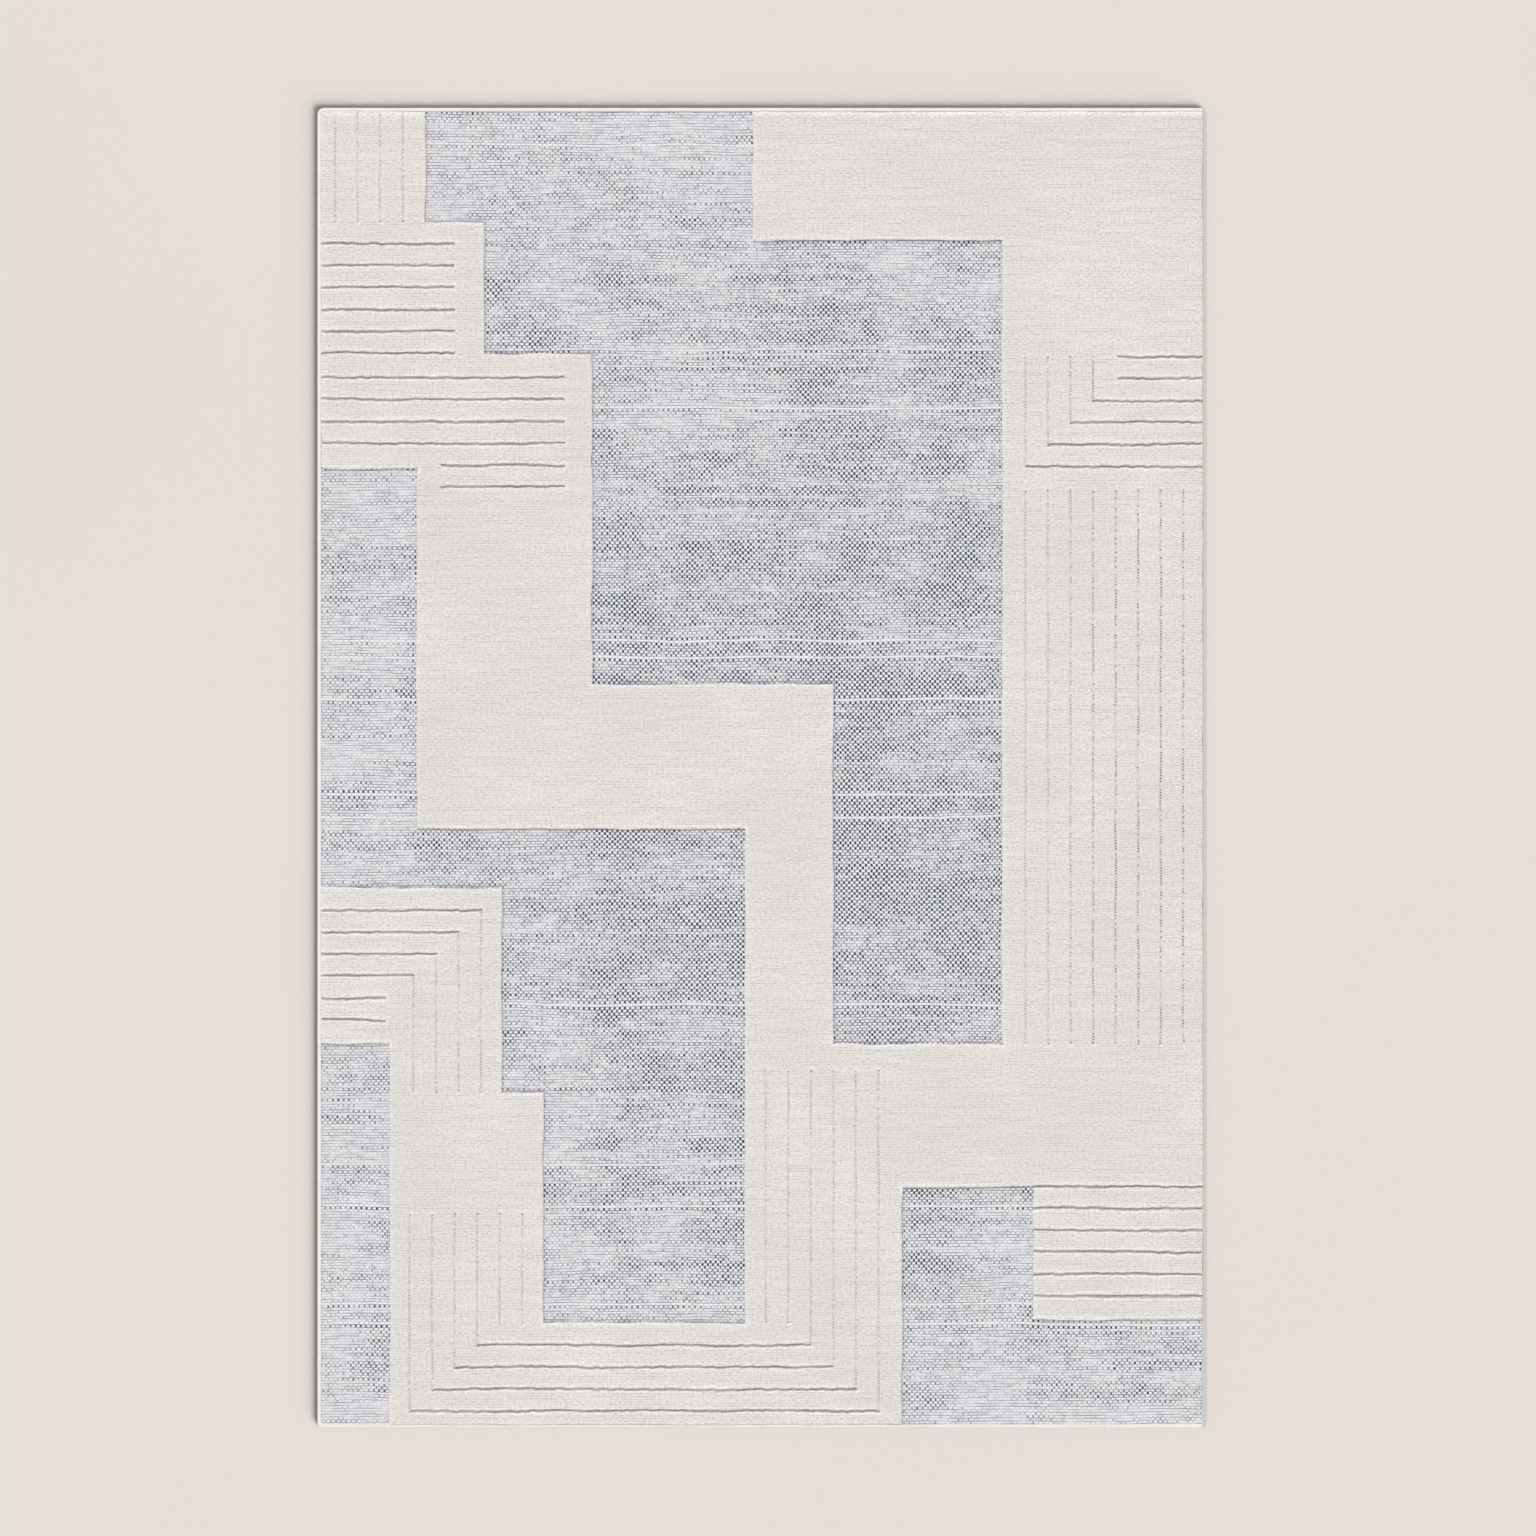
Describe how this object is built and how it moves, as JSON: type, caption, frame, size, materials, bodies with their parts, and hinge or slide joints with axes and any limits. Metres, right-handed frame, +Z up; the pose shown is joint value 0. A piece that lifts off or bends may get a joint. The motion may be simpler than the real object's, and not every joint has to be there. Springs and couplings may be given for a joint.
{
  "type": "area rug",
  "caption": "Rectangular high-low area rug: stepped panels of carved cream pile on a blue-grey flat-woven ground, with bound edges and a canvas back.",
  "frame": {"origin": "middle of the underside, on the floor", "axes": "+X across the rug to its right side, +Y along its length to the top end, +Z up out of the pile"},
  "size_m": [1.6, 2.376, 0.013],
  "materials": {
    "ground_yarn": "matt heathered flatweave, pale weft over slate warp",
    "pile_yarn": "soft cream cut pile with a faint sheen",
    "binding_yarn": "cream serging yarn",
    "cotton_canvas": "unbleached cotton canvas",
    "latex": "matt latex coat",
    "cotton_tape": "twill cotton tape",
    "seam_thread": "twisted polyester thread"
  },
  "bodies": {
    "root": {"ground_weave": "ground_yarn", "latex_coat": "latex", "backing_canvas": "cotton_canvas", "pile_top_left": "pile_yarn", "pile_upper_left": "pile_yarn", "pile_middle_left": "pile_yarn", "pile_centre_left": "pile_yarn", "pile_centre": "pile_yarn", "pile_centre_stem": "pile_yarn", "pile_lower_left": "pile_yarn", "pile_lower_left_foot": "pile_yarn", "pile_basin_left": "pile_yarn", "pile_basin_floor": "pile_yarn", "pile_basin_right": "pile_yarn", "pile_lower_right": "pile_yarn", "pile_bottom_right": "pile_yarn", "pile_top_right": "pile_yarn", "pile_upper_right": "pile_yarn", "pile_right_column": "pile_yarn", "binding_left": "binding_yarn", "binding_right": "binding_yarn", "binding_top": "binding_yarn", "binding_bottom": "binding_yarn", "hem_tape_left": "cotton_tape", "hem_tape_right": "cotton_tape", "hem_tape_top": "cotton_tape", "hem_tape_bottom": "cotton_tape", "hem_seam_left": "seam_thread", "hem_seam_right": "seam_thread", "hem_seam_top": "seam_thread", "hem_seam_bottom": "seam_thread"}
  },
  "joints": []
}
